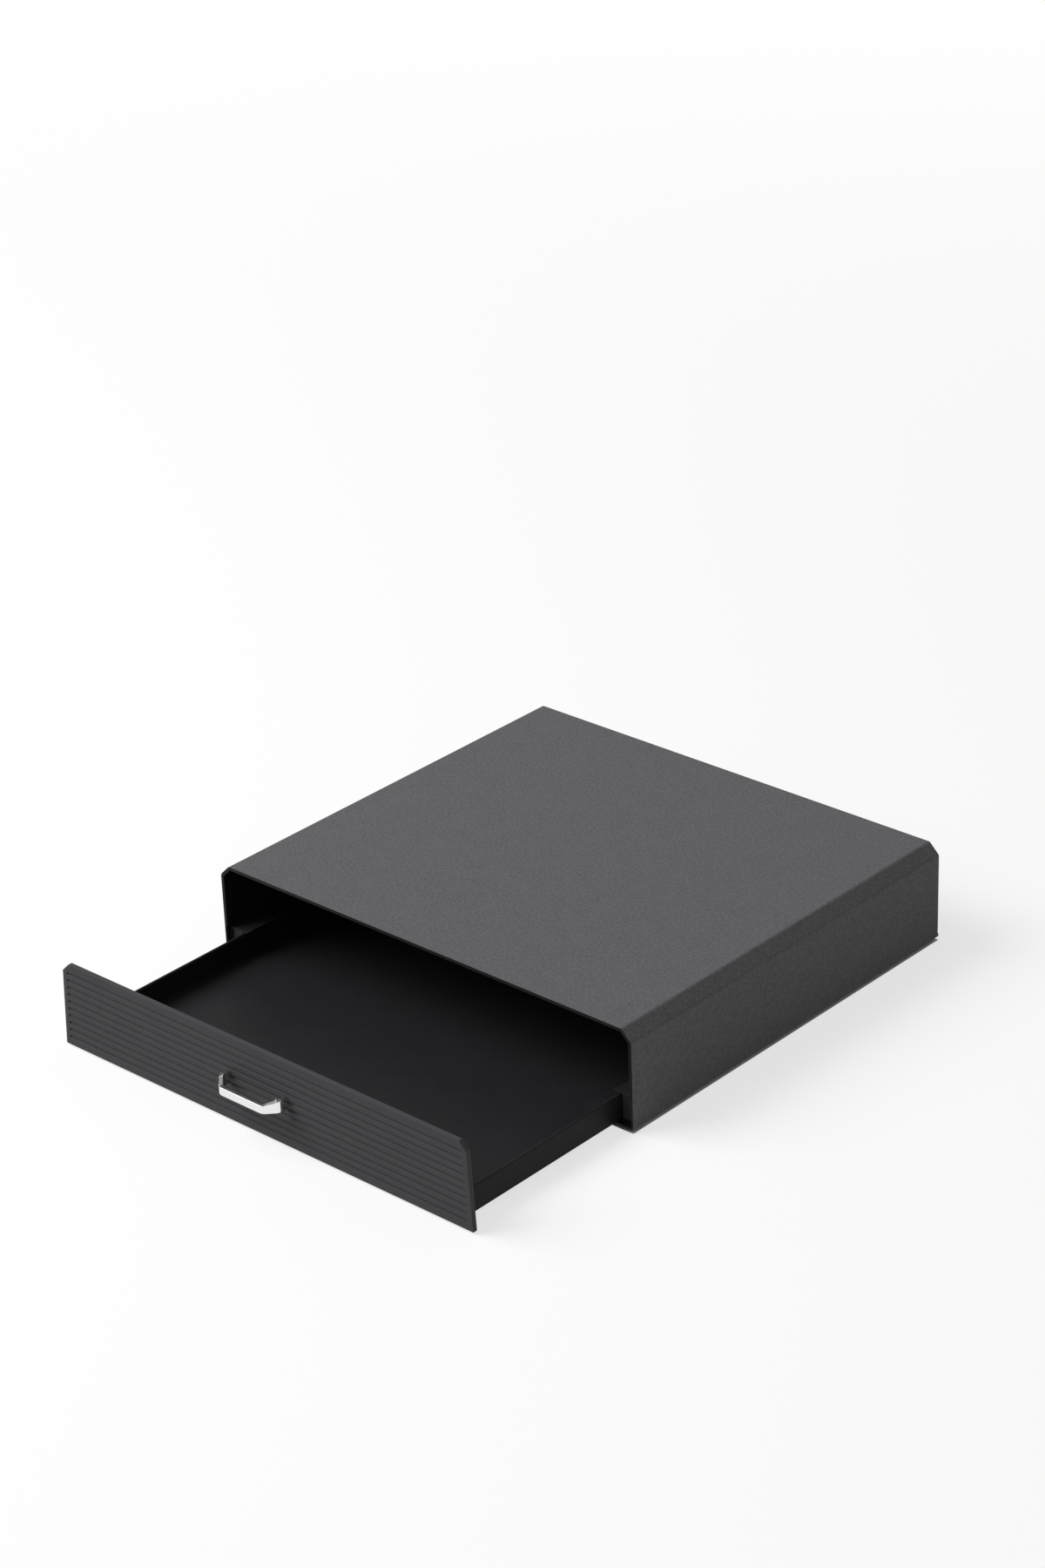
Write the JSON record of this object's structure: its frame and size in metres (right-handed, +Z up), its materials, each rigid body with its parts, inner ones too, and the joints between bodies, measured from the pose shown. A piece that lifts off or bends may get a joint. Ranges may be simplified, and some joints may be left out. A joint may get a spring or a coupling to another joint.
{
  "type": "coffee pod drawer",
  "caption": "Low steel housing that stands under a coffee machine, with a sliding tray for single-serve pods behind a ribbed front panel and a small polished bail handle.",
  "frame": {"origin": "on the floor, below the middle of the whole object's box as it stands with its drawer 134 mm out", "axes": "+X to the right as seen from the front, +Y to the back, +Z up; the drawer opens along -Y"},
  "size_m": [0.34, 0.4536, 0.0685],
  "materials": {
    "powder_coat": "matt, finely textured dark grey powder coat",
    "tray_coat": "satin near-black powder coat",
    "ribbed_front": "matt moulded plastic with fine level ribs",
    "polished_steel": "mirror polished",
    "zinc_steel": "bright zinc plate",
    "coated_rivet": "dark coated",
    "nylon": "satin moulded nylon",
    "rubber": "matt rubber"
  },
  "bodies": {
    "housing": {"housing": "powder_coat", "back_panel": "tray_coat", "back_panel_rivets": "coated_rivet", "guide_rail_left": "tray_coat", "guide_rail_right": "tray_coat", "rail_rivets": "coated_rivet", "front_guide_left": "nylon", "front_guide_right": "nylon", "guide_screws": "zinc_steel", "foot_front_left": "rubber", "foot_front_right": "rubber", "foot_back_left": "rubber", "foot_back_right": "rubber", "rear_bumper_left": "rubber", "rear_bumper_right": "rubber"},
    "drawer": {"drawer_tray": "tray_coat", "drawer_front": "ribbed_front", "drawer_front_screws": "zinc_steel", "rear_glide_left": "nylon", "rear_glide_right": "nylon", "glide_screws": "zinc_steel", "handle": "polished_steel"}
  },
  "joints": [
    {"name": "drawer_slide", "type": "slide", "parent": "housing", "child": "drawer", "axis": [0, -1, 0], "range_m": [-0.134, 0.1045]}
  ]
}
